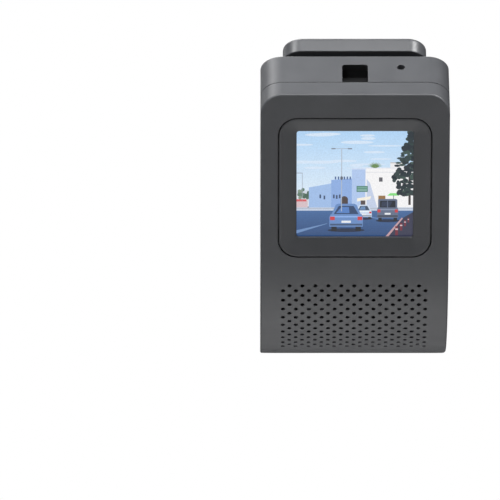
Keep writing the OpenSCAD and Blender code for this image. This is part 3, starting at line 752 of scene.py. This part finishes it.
def car(p, x, y, w, h, paint, glass_rgb, boxy=0.0):
    """A car seen from behind; x and y are its lower left corner on the road, w and h its size."""
    def part(points, rgb):
        p.shape([(x + w * a, y + h * b) for a, b in points], rgb)

    def bar(x0, y0, x1, y1, rgb):
        part([(x0, y0), (x1, y0), (x1, y1), (x0, y1)], rgb)

    lean = 0.16 * (1 - boxy)
    shadow, tyre, lamp, number_plate = (28, 42, 70), (26, 30, 38), (205, 58, 62), (232, 236, 240)
    p.oval(x + w * 0.5, y + h * 0.03, w * 0.56, h * 0.07, shadow)
    for side in (0.06, 0.78):
        bar(side, 0, side + 0.16, 0.3, tyre)
    part([(0, 0.16), (1, 0.16), (1, 0.52), (0.96, 0.62), (0.04, 0.62), (0, 0.52)], paint)
    part([(0.05, 0.58), (0.95, 0.58), (0.97 - lean, 0.96), (0.9 - lean, 1), (0.1 + lean, 1),
          (0.03 + lean, 0.96)], paint)
    darker_glass = [v * 0.55 for v in glass_rgb]
    part([(0.13, 0.62), (0.87, 0.62), (0.88 - lean, 0.92), (0.12 + lean, 0.92)], darker_glass)
    part([(0.2, 0.66), (0.6, 0.66), (0.74 - lean, 0.88), (0.2 + lean, 0.88)], glass_rgb)
    bar(0.03, 0.5, 0.97, 0.55, [min(255, v + 38) for v in paint])
    bar(0.02, 0.2, 0.98, 0.27, [v * 0.62 for v in paint])
    for side in (0.02, 0.84):
        bar(side, 0.4, side + 0.14, 0.53, lamp)
    bar(0.36, 0.3, 0.64, 0.38, number_plate)


def sky(p, rnd):
    haze, blue, cloud = (226, 238, 248), (176, 212, 246), (214, 230, 248)
    p.fade(0, 0.3, 1, 1, haze, blue, 28)
    for _ in range(16):
        x, y = rnd.uniform(0.05, 0.8), rnd.uniform(0.62, 0.97)
        p.oval(x, y, rnd.uniform(0.06, 0.16), rnd.uniform(0.006, 0.016), cloud)


def far_left(p, rnd):
    """A pale wall with posts and a hedge before it, and a low awning."""
    p.rect(0, 0.28, 0.2, 0.42, (222, 226, 232))
    for i in range(9):
        p.rect(0.01 + i * 0.02, 0.4, 0.026 + i * 0.02, 0.43 + 0.02 * rnd.random(), (206, 214, 226))
    for _ in range(26):
        p.oval(rnd.uniform(0.02, 0.11), rnd.uniform(0.36, 0.44), 0.014, 0.016,
               rnd.choice([(96, 124, 108), (70, 100, 84), (130, 150, 132)]))
    p.rect(0, 0.26, 0.1, 0.34, (214, 190, 196))
    p.rect(0.0, 0.33, 0.09, 0.35, (214, 92, 96))


def walls(p):
    """The fronts of the buildings, with a row of openings, roof lines and a palm on the roof."""
    p.shape([(0.11, 0.24), (0.31, 0.24), (0.31, 0.5), (0.11, 0.46)], (160, 190, 232))
    p.shape([(0.3, 0.24), (0.48, 0.24), (0.48, 0.545), (0.3, 0.53)], (142, 174, 226))
    for i in range(6):
        p.rect(0.33 + i * 0.025, 0.535, 0.342 + i * 0.025, 0.562, (70, 98, 150))
    p.rect(0.475, 0.24, 0.6, 0.635, (176, 200, 238))
    p.shape([(0.59, 0.24), (1, 0.24), (1, 0.6), (0.93, 0.64), (0.59, 0.64)], (246, 245, 246))
    p.rect(0.475, 0.628, 0.6, 0.64, (206, 220, 244))
    p.rect(0.59, 0.6, 0.93, 0.606, (218, 220, 226))
    p.rect(0.59, 0.636, 0.93, 0.645, (228, 230, 236))
    p.rect(0.8, 0.645, 0.92, 0.69, (238, 238, 240))
    p.rect(0.8, 0.686, 0.93, 0.694, (190, 180, 172))
    for i in range(13):
        a = math.radians(20 + i * 11.5)
        tip = (0.67 + 0.075 * math.cos(a), 0.645 + 0.055 * math.sin(a))
        p.shape([(0.66, 0.643), (0.68, 0.643), tip], (118, 150, 88) if i % 2 else (84, 122, 72))


def shop_fronts(p):
    """Small things at street level: openings, an arch, a blank sign board, stalls and a parasol."""
    p.shape([(0.6, 0.24), (0.7, 0.24), (0.63, 0.5), (0.6, 0.54)], (196, 208, 232))
    for x, y in ((0.2, 0.36), (0.235, 0.35), (0.315, 0.36), (0.34, 0.355), (0.365, 0.36)):
        p.rect(x, y, x + 0.014, y + 0.035, (62, 80, 112))
    p.rect(0.705, 0.515, 0.735, 0.555, (92, 92, 100))
    p.shape(arc(0.412, 0.35, 0.03, 0, 180, 10) + [(0.382, 0.28), (0.442, 0.28)], (74, 62, 62))
    p.rect(0.515, 0.42, 0.61, 0.475, (74, 128, 112))
    p.rect(0.522, 0.43, 0.603, 0.444, (140, 182, 172))
    p.rect(0.522, 0.452, 0.603, 0.466, (118, 166, 152))
    p.shape([(0.52, 0.36), (0.64, 0.38), (0.63, 0.35), (0.52, 0.33)], (246, 240, 226))
    p.rect(0.55, 0.27, 0.59, 0.34, (84, 74, 76))
    p.rect(0.7, 0.34, 0.76, 0.385, (150, 112, 66))
    p.shape([(0.775, 0.385), (0.88, 0.385), (0.86, 0.408), (0.8, 0.408)], (128, 222, 122))
    p.rect(0.826, 0.28, 0.832, 0.39, (120, 130, 130))


def road_and_cars(p):
    """The kerb, the road with its painted lines, three cars and a row of bollards."""
    p.rect(0, 0.235, 1, 0.275, (196, 208, 226))
    p.rect(0, 0.262, 1, 0.27, (176, 184, 200))
    p.fade(0, 0, 1, 0.245, (44, 76, 124), (66, 104, 156), 12)
    p.shape([(0, 0.03), (0.26, 0.12), (0.27, 0.127), (0, 0.06)], (108, 142, 190))
    p.shape([(0.55, 0.2), (0.72, 0.16), (0.74, 0.165), (0.56, 0.21)], (96, 130, 180))
    p.shape([(0.78, 0.0), (1, 0.0), (1, 0.235), (0.9, 0.17)], (52, 54, 78))
    p.shape([(0.76, 0.0), (0.785, 0.0), (0.91, 0.172), (0.9, 0.18)], (196, 158, 164))
    car(p, 0.51, 0.165, 0.135, 0.135, (206, 220, 240), (104, 140, 186))
    car(p, 0.69, 0.145, 0.18, 0.21, (98, 110, 136), (40, 52, 78), 0.9)
    p.rect(0.775, 0.27, 0.782, 0.345, (98, 110, 136))
    car(p, 0.285, 0.055, 0.285, 0.255, (104, 140, 196), (84, 128, 196))
    for i, (x, y) in enumerate(((0.845, 0.015), (0.885, 0.06), (0.92, 0.1), (0.95, 0.135))):
        k = 1 - 0.16 * i
        p.rect(x, y, x + 0.024 * k, y + 0.085 * k, (116, 40, 58))
        p.rect(x, y + 0.05 * k, x + 0.024 * k, y + 0.064 * k, (216, 190, 196))


def posts_and_tree(p, rnd):
    """A street lamp, a bracket post at the left, and a trunk with leaves down the right edge."""
    p.rect(0.384, 0.24, 0.391, 0.82, (176, 186, 200))
    p.rect(0.3, 0.822, 0.475, 0.827, (168, 176, 190))
    for x in (0.3, 0.44):
        p.rect(x, 0.818, x + 0.035, 0.83, (132, 140, 156))
    p.oval(0.3875, 0.55, 0.012, 0.018, (96, 104, 120))
    p.rect(0.052, 0.34, 0.056, 0.6, (150, 158, 172))
    p.rect(0.0, 0.594, 0.056, 0.6, (150, 158, 172))
    p.rect(0.955, 0.3, 0.975, 0.6, (58, 52, 54))
    for _ in range(170):
        y = rnd.uniform(0.4, 1.0)
        reach = 0.11 + 0.06 * math.sin((y - 0.35) * 7.5)
        p.oval(1 - rnd.uniform(0, reach), y, rnd.uniform(0.012, 0.03), rnd.uniform(0.01, 0.024),
               rnd.choice([(30, 46, 52), (42, 62, 62), (24, 38, 48), (58, 80, 74)]), 9)


def street(p):
    """A plain daytime street, back to front. No people, no lettering."""
    rnd = random.Random(5)
    sky(p, rnd)
    far_left(p, rnd)
    walls(p)
    shop_fronts(p)
    road_and_cars(p)
    posts_and_tree(p, rnd)
    p.rect(0, 0, 1, 0.006, (120, 150, 190))


GLASS, GLASS_BACK, GLASS_FACE = 38.4, -2.7, -2.62
glass_at = moved(at_screen, 0, -DISPLAY_DROP)
glass = solid("window", rounded(GLASS, GLASS, 1), [(GLASS_BACK, 0), (GLASS_FACE, 0)], glass_at)
stand_in(glass, "display_window")
picture = Picture(moved(glass_at, 0, 0, GLASS_FACE + 0.02), DISPLAY + 0.4)
street(picture)
place(object_from("picture", picture.bm), "live_picture", "picture", "camera_body", "lcd_glass")

# ---------------------------------------------------------------- bracket
plate = rounded(PLATE_W, PLATE_LEN, PLATE_R, 14)
plate_at = moved(at_top, 0, PLATE_S + PLATE_LEN / 2)
plate_top = PLATE_GAP + PLATE_T
stand_in(solid("plate", plate, edge_layers(PLATE_GAP, plate_top, 0.35, 1.3, 6), plate_at), "mount_plate")
pad_layers = [(plate_top, 0), (plate_top + 0.2, -0.05), (plate_top + 0.35, 0.0), (plate_top + 0.6, 0.05)]
stand_in(solid("pad", inset(plate, 2.2), pad_layers, plate_at), "adhesive_pad")

# ---------------------------------------------------------------- buttons
PANEL_PLAY, PANEL_RIM, PANEL_FLOOR = 0.6, 3.2, -0.8
CAP_FOOT, CAP_FACE = -2.3, -0.05
MARK = (-0.2, -0.02)            # from inside the cap to a hair above its face
caps_at = moved(at_side, PANEL_S - 0.2, -PANEL_N)
panel_outline = stadium(PANEL_L - PANEL_PLAY, PANEL_H - PANEL_PLAY, 28)
panel = solid("panel", panel_outline, edge_layers(-WALL, CAP_FACE, 0, 0.3), panel_at)
dish = [(PANEL_FLOOR, 0.25), (-0.7, 0.08), (-0.5, 0.0), (OUT, -0.6)]
drilled = [(-4, 0), (OUT, 0)]
boolean(panel, [
    loft(stadium(PANEL_L - PANEL_RIM, PANEL_H - PANEL_RIM, 28), dish, panel_at),
    loft(stadium(CAP_L, CAP_H, 24), drilled, caps_at),
    loft(ring(RESET_R, 24), drilled, moved(at_side, RESET_HOLE_S, -PANEL_N)),
    loft(stadium(LED_W, LED_H, 12), drilled, moved(at_side, LED_S, -PANEL_N)),
])
stand_in(panel, "button_panel")


def cap_outline(side):
    """Half of the slot's stadium, on one side of the gap between the two caps."""
    l, h, g = CAP_L - 2 * CAP_PLAY, CAP_H - 2 * CAP_PLAY, CAP_GAP / 2
    curve = arc(l / 2 - h / 2, 0, h / 2, -90, 90, 24)
    outline = [(g, -h / 2)] + curve + [(g, h / 2)]
    return outline if side > 0 else [(-x, -y) for x, y in outline]


def stroke(points, width, at, z0, z1):
    """A thin line of even width along points, as a closed strip."""
    pts = [np.array(q, float) for q in points]
    left, right = [], []
    for i, q in enumerate(pts):
        d = pts[min(i + 1, len(pts) - 1)] - pts[max(i - 1, 0)]
        n = np.array((-d[1], d[0])) / (np.hypot(*d) + 1e-9) * width / 2
        left.append(q + n)
        right.append(q - n)
    bm = bmesh.new()
    rows = [[bm.verts.new(at @ Vector((*q, z))) for q, z in ((a, z0), (b, z0), (b, z1), (a, z1))]
            for a, b in zip(left, right)]
    for a, b in zip(rows, rows[1:]):
        for i in range(4):
            bm.faces.new((a[i], a[(i + 1) % 4], b[(i + 1) % 4], b[i]))
    bm.faces.new(rows[0][::-1])
    bm.faces.new(rows[-1])
    bmesh.ops.recalc_face_normals(bm, faces=bm.faces)
    return bm


def dot_in_ring(at):
    return [stroke(arc(0, 0, ICON_R, 0, 360, 32), ICON_LINE, at, *MARK),
            loft(ring(0.42, 20), [(z, 0) for z in MARK], at)]


def power_sign(at):
    return [stroke(arc(0, 0, ICON_R, 130, 410, 30), ICON_LINE, at, *MARK),
            stroke([(0, 0.35), (0, 1.65)], ICON_LINE, at, *MARK)]


ICON_R, ICON_LINE, ICON_X = 1.25, 0.32, 5.4
for side, node, sign in ((-1, "ok_button", dot_in_ring), (1, "power_button", power_sign)):
    cap_layers = edge_layers(CAP_FOOT, CAP_FACE, 0, 0.4, 5)
    stand_in(object_from("cap", loft(cap_outline(side), cap_layers, caps_at)), node)
    symbol = object_from("mark", join(sign(moved(caps_at, side * ICON_X, 0))))
    place(symbol, node + "_symbol", "ink", body_of[node], "black_plastic")

# An open arrow on the panel's floor, beside the reset hole.
arrow_at = moved(at_side, RESET_MARK_S, -PANEL_N)
arrow_z = (PANEL_FLOOR - 0.1, PANEL_FLOOR + 0.03)
arrow = [stroke(arc(0, 0, 0.75, 40, 330, 24), 0.24, arrow_at, *arrow_z),
         stroke([(0.2, 0.75), (0.72, 0.48), (0.62, 1.06)], 0.22, arrow_at, *arrow_z)]
place(object_from("mark", join(arrow)), "reset_symbol", "ink", "camera_body", "black_plastic")


# ---------------------------------------------------------------- lens block
BLOCK_BACK, BLOCK_WALL, BLOCK_FLOOR = -21.4, 1.8, -9
CHAMFER = 2
RING_SEAT, CONE_SEAT, BARREL_HOLE, PIN_HOLE = (11.55, -0.9), (10.6, -6.5), (7.0, -10), (2.02, -30)


def block_outline():
    """Round below, straight up the sides, with chamfered upper corners."""
    side, shoulder = LENS_R, LENS_UP - CHAMFER
    upper = [(side, shoulder), (side - CHAMFER, LENS_UP), (-side + CHAMFER, LENS_UP), (-side, shoulder)]
    return upper + arc(0, 0, side, 180, 360, 64)


def bored(size, segments, place_at=at_lens, top=OUT):
    """A round cutter from its seat's depth up to the top."""
    radius, bottom = size
    return loft(ring(radius, segments), [(bottom, 0), (top, 0)], place_at)


block_layers = [(BLOCK_BACK, 0.3), (BLOCK_BACK + 0.3, 0)] + edge_layers(-21.0, 0, 0, 0.45, 5)[1:]
block = solid("block", block_outline(), block_layers, at_lens)
boolean(block, [
    loft(block_outline(), [(-30, BLOCK_WALL), (BLOCK_FLOOR, BLOCK_WALL)], at_lens),
    bored(RING_SEAT, 96),
    bored(CONE_SEAT, 96),
    bored(BARREL_HOLE, 64),
    bored(PIN_HOLE, 32, frame_at(*PIVOT, (0, 1, 0), (0, 0, 1)), 30),
])
stand_in(block, "lens_housing")


def turned(name, profile, node, segments):
    stand_in(object_from(name, lathe(profile, at_lens, segments)), node)


ring_profile = [(11.42, -0.8), (11.42, -0.05), (11.32, 0.1), (11.1, 0.14), (10.7, 0.1), (10.52, -0.1),
                (10.42, -0.5), (10.42, -0.8)]
turned("ring", ring_profile, "lens_ring", 128)


def cone_profile():
    """Fine steps down to the barrel, each with a small shining lip."""
    pts = [(10.4, -6.3), (10.4, -0.75), (10.3, -0.7)]
    steps = [(10.0, -0.95), (9.0, -1.75), (8.6, -2.1), (7.9, -2.95), (7.5, -3.3), (6.7, -4.4)]
    for r, z in steps:
        pts += [(r + 0.06, z + 0.02), (r, z - 0.1)]
    return pts + [(6.25, -4.6), (6.2, -6.3)]


def dome_profile(r=4.8, back=-6.3, edge=1.6, rise=1.3):
    """A lens with a flat back, a straight edge and a domed face."""
    face = [(r * math.sin(math.radians(a)), back + edge + rise * math.cos(math.radians(a)))
            for a in range(90, 0, -6)]
    return [(0, back), (r, back)] + face + [(0, back + edge + rise)]


turned("cone", cone_profile(), "lens_cone", 128)
barrel_profile = [(6.0, -15.5), (6.0, -3.45), (5.9, -3.25), (5.6, -3.2), (5.35, -3.4), (5.1, -4.1),
                  (4.95, -4.9), (4.9, -6.4), (4.3, -6.5), (4.25, -15.5)]
turned("barrel", barrel_profile, "lens_barrel", 96)
turned("glass", dome_profile(), "front_lens", 96)


# ---------------------------------------------------------------- floor, world, lights
# The camera sees an even white floor and background; the object is lit by the lamps, by the floor's
# own pale paint and by a dim grey world.
FLOOR_HALF, FLOOR_Z = 6, -1
FLOOR_GLOW, WORLD_LIGHT = 0.97, 0.06
floor_mesh = bpy.data.meshes.new("floor")
corners = [(x * FLOOR_HALF, y * FLOOR_HALF, FLOOR_Z) for x, y in ((-1, -1), (1, -1), (1, 1), (-1, 1))]
floor_mesh.from_pydata(corners, [], [(0, 1, 2, 3)])
floor = bpy.data.objects.new("floor", floor_mesh)
bpy.context.scene.collection.objects.link(floor)
g = Graph("pale_floor")
g.link(g.mix(g.noise(300.0), (0.86, 0.86, 0.86, 1), (0.9, 0.9, 0.9, 1)), g.bsdf.inputs["Base Color"])
g.bsdf.inputs["Roughness"].default_value = 0.7
glow = g.node("ShaderNodeEmission")
glow.inputs["Strength"].default_value = FLOOR_GLOW
seen = g.node("ShaderNodeMixShader")
g.link(g.node("ShaderNodeLightPath").outputs["Is Camera Ray"], seen.inputs[0])
g.link(g.bsdf.outputs[0], seen.inputs[1])
g.link(glow.outputs[0], seen.inputs[2])
g.link(seen.outputs[0], g.out.inputs["Surface"])
floor_mesh.materials.append(g.mat)

world = bpy.data.worlds.new("studio")
bpy.context.scene.world = world
world.use_nodes = True
wt = world.node_tree
wt.nodes.clear()
out = wt.nodes.new("ShaderNodeOutputWorld")
dim = wt.nodes.new("ShaderNodeBackground")
white = wt.nodes.new("ShaderNodeBackground")
chosen = wt.nodes.new("ShaderNodeMixShader")
path = wt.nodes.new("ShaderNodeLightPath")
dim.inputs[0].default_value = (0.55, 0.56, 0.58, 1)
dim.inputs[1].default_value = WORLD_LIGHT
white.inputs[0].default_value = (1, 1, 1, 1)
wt.links.new(path.outputs["Is Camera Ray"], chosen.inputs[0])
wt.links.new(dim.outputs[0], chosen.inputs[1])
wt.links.new(white.outputs[0], chosen.inputs[2])
wt.links.new(chosen.outputs[0], out.inputs[0])


def area(name, loc, size, power, target=(0, 0, -0.03)):
    """A soft lamp in metres and watts, turned to the target."""
    lamp = bpy.data.lights.new(name, "AREA")
    lamp.shape = "RECTANGLE"
    lamp.size, lamp.size_y = size
    lamp.energy = power
    o = bpy.data.objects.new(name, lamp)
    o.location = loc
    o.rotation_euler = (Vector(target) - Vector(loc)).to_track_quat("-Z", "Y").to_euler()
    bpy.context.scene.collection.objects.link(o)


area("rear_top", (0.0, 0.7, 0.9), (0.7, 0.5), 9.2)
area("front_top", (0.3, -0.8, 0.8), (0.6, 0.5), 7.5)
area("left_high", (0.7, 0.3, 0.8), (0.3, 0.3), 8.9)
area("right_high", (-0.7, 0.3, 0.8), (0.3, 0.3), 14.0)
area("rear_left", (0.6, 1.1, 0.6), (0.2, 0.6), 5.6)
area("rear_right", (-0.95, 0.55, 0.35), (0.15, 0.8), 1.6)
area("side_left", (0.9, 0.5, 0.3), (0.3, 0.9), 1.2)
area("corner_strip", (0.95, -1.0, 0.15), (0.1, 0.9), 1.6)
area("front", (0.1, -1.4, 0.2), (0.5, 0.5), 1.8)
area("under", (0.0, -0.1, -0.85), (0.5, 0.5), 0.65)

# ---------------------------------------------------------------- camera
# Behind the body, a little under its foot and tilted up; a long lens far away keeps the sides near parallel.
CAMERA_PLACE, CAMERA_UP, FOCAL, SENSOR = (32.2, 2889.9, -27.0), 1.18, 659.2, 36
cam = bpy.data.cameras.new("camera")
cam.sensor_width = SENSOR
cam.lens = FOCAL
cam.clip_end = 50
camera = bpy.data.objects.new("camera", cam)
camera.location = foot + Vector(CAMERA_PLACE) * MM
camera.rotation_euler = (math.radians(90 + CAMERA_UP), 0, math.radians(180))
bpy.context.scene.collection.objects.link(camera)
bpy.context.scene.camera = camera
bpy.context.scene.view_settings.view_transform = "Standard"
